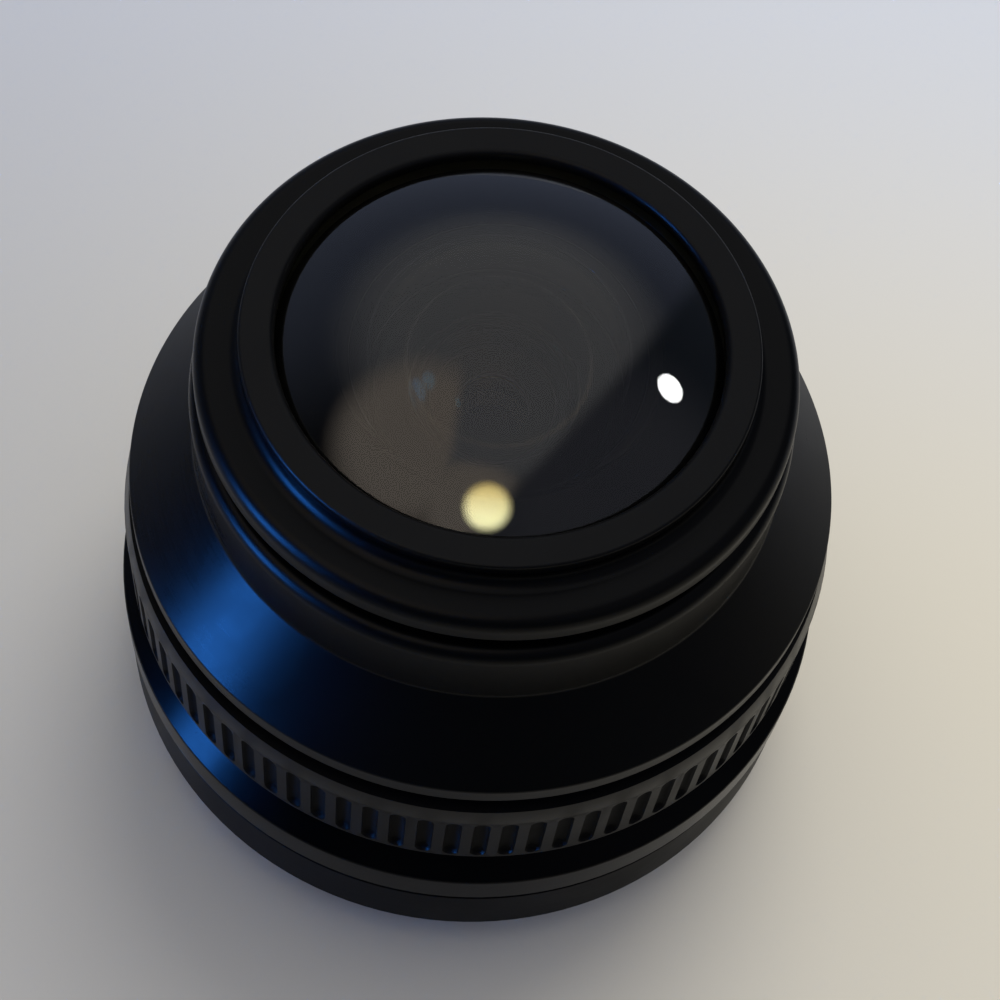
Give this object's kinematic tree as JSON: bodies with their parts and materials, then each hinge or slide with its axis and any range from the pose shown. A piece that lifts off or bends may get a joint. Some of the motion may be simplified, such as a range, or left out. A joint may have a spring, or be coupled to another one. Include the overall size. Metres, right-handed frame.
{
  "type": "fisheye lens",
  "caption": "Manual-focus fisheye camera lens with a domed front glass, conical shroud, grooved focus ring, aperture ring with working iris, and a bayonet mount.",
  "frame": {"origin": "on the optical axis at the rear end of the bayonet's spigot", "axes": "+Z along the optical axis towards the front glass; -Y is the side the picture shows; the index bead is on +Y"},
  "size_m": [0.072, 0.0724, 0.0638],
  "materials": {
    "mount_metal": "satin chrome plating on brass",
    "steel": "plain steel",
    "black_steel": "blackened steel",
    "blade_steel": "blued spring steel",
    "flat_black": "flat black",
    "black_barrel": "satin black anodised",
    "black_shroud": "satin black anodised",
    "black_trim": "semi-gloss black",
    "black_grip": "glossy black anodised",
    "helicoid_aluminium": "dark anodised, greased",
    "brass": "machined, greased",
    "coated_glass": "polished and coated",
    "clear_glass": "polished",
    "gasket_rubber": "matt",
    "index_bead": "glossy"
  },
  "bodies": {
    "rear_barrel": {"bayonet_mount": "mount_metal", "mount_screws": "steel", "rear_baffle": "flat_black", "baffle_screws": "black_steel", "rear_barrel": "black_barrel", "mount_index_bead": "index_bead", "focus_retaining_ring": "brass", "focus_stop_pin": "steel", "guide_keys": "brass", "key_screws": "steel", "detent_ball": "steel", "detent_spring": "steel"},
    "focus_ring": {"focus_ring": "black_grip", "helicoid_nut": "brass", "nut_screws": "black_steel"},
    "lens_unit": {"helicoid_barrel": "helicoid_aluminium", "barrel_screws": "steel", "front_barrel": "black_barrel", "front_shroud": "black_shroud", "front_bezel": "black_shroud", "front_retaining_ring": "black_trim", "front_element": "coated_glass", "front_gasket": "gasket_rubber", "second_element": "clear_glass", "second_retaining_ring": "flat_black", "spacer_ring": "flat_black", "third_element": "clear_glass", "iris_housing": "flat_black", "iris_snap_ring": "steel", "rear_cell": "black_barrel", "fourth_element": "clear_glass", "rear_spacer": "flat_black", "fifth_element": "clear_glass", "sixth_element": "clear_glass", "thin_spacer": "flat_black", "seventh_element": "coated_glass", "rear_retaining_ring": "flat_black"},
    "iris_cam_ring": {"iris_cam_ring": "brass"},
    "aperture_ring": {"aperture_ring": "black_barrel", "aperture_fork": "steel", "fork_screws": "black_steel"},
    "iris_blade_1": {"iris_blade_1": "blade_steel"},
    "iris_blade_2": {"iris_blade_2": "blade_steel"},
    "iris_blade_3": {"iris_blade_3": "blade_steel"},
    "iris_blade_4": {"iris_blade_4": "blade_steel"},
    "iris_blade_5": {"iris_blade_5": "blade_steel"},
    "iris_blade_6": {"iris_blade_6": "blade_steel"}
  },
  "joints": [
    {"name": "focus_turn", "type": "hinge", "parent": "rear_barrel", "child": "focus_ring", "pos_m": [0, 0, 0.0275], "axis": [0, 0, 1], "range_deg": [0, 110]},
    {"name": "lens_slide", "type": "slide", "parent": "rear_barrel", "child": "lens_unit", "axis": [0, 0, 1], "range_m": [0, 0.0016]},
    {"name": "aperture_turn", "type": "hinge", "parent": "rear_barrel", "child": "aperture_ring", "pos_m": [0, 0, 0.0096], "axis": [0, 0, 1], "range_deg": [0, 42]},
    {"name": "iris_turn", "type": "hinge", "parent": "lens_unit", "child": "iris_cam_ring", "pos_m": [0, 0, 0.0344], "axis": [0, 0, 1], "range_deg": [0, 42]},
    {"name": "blade_1_turn", "type": "hinge", "parent": "lens_unit", "child": "iris_blade_1", "pos_m": [0.0102, 0, 0.0355], "axis": [0, 0, 1], "range_deg": [0, 22.6]},
    {"name": "blade_2_turn", "type": "hinge", "parent": "lens_unit", "child": "iris_blade_2", "pos_m": [0.0051, 0.00883, 0.0355], "axis": [0, 0, 1], "range_deg": [0, 22.6]},
    {"name": "blade_3_turn", "type": "hinge", "parent": "lens_unit", "child": "iris_blade_3", "pos_m": [-0.0051, 0.00883, 0.0355], "axis": [0, 0, 1], "range_deg": [0, 22.6]},
    {"name": "blade_4_turn", "type": "hinge", "parent": "lens_unit", "child": "iris_blade_4", "pos_m": [-0.0102, 0, 0.0355], "axis": [0, 0, 1], "range_deg": [0, 22.6]},
    {"name": "blade_5_turn", "type": "hinge", "parent": "lens_unit", "child": "iris_blade_5", "pos_m": [-0.0051, -0.00883, 0.0355], "axis": [0, 0, 1], "range_deg": [0, 22.6]},
    {"name": "blade_6_turn", "type": "hinge", "parent": "lens_unit", "child": "iris_blade_6", "pos_m": [0.0051, -0.00883, 0.0355], "axis": [0, 0, 1], "range_deg": [0, 22.6]}
  ],
  "couplings": [
    {"joint": "lens_slide", "follows": "focus_turn", "m_per_rad": 0.00083339},
    {"joint": "iris_turn", "follows": "aperture_turn", "ratio": 1},
    {"joint": "blade_1_turn", "follows": "aperture_turn", "ratio": 0.5381},
    {"joint": "blade_2_turn", "follows": "aperture_turn", "ratio": 0.5381},
    {"joint": "blade_3_turn", "follows": "aperture_turn", "ratio": 0.5381},
    {"joint": "blade_4_turn", "follows": "aperture_turn", "ratio": 0.5381},
    {"joint": "blade_5_turn", "follows": "aperture_turn", "ratio": 0.5381},
    {"joint": "blade_6_turn", "follows": "aperture_turn", "ratio": 0.5381}
  ]
}
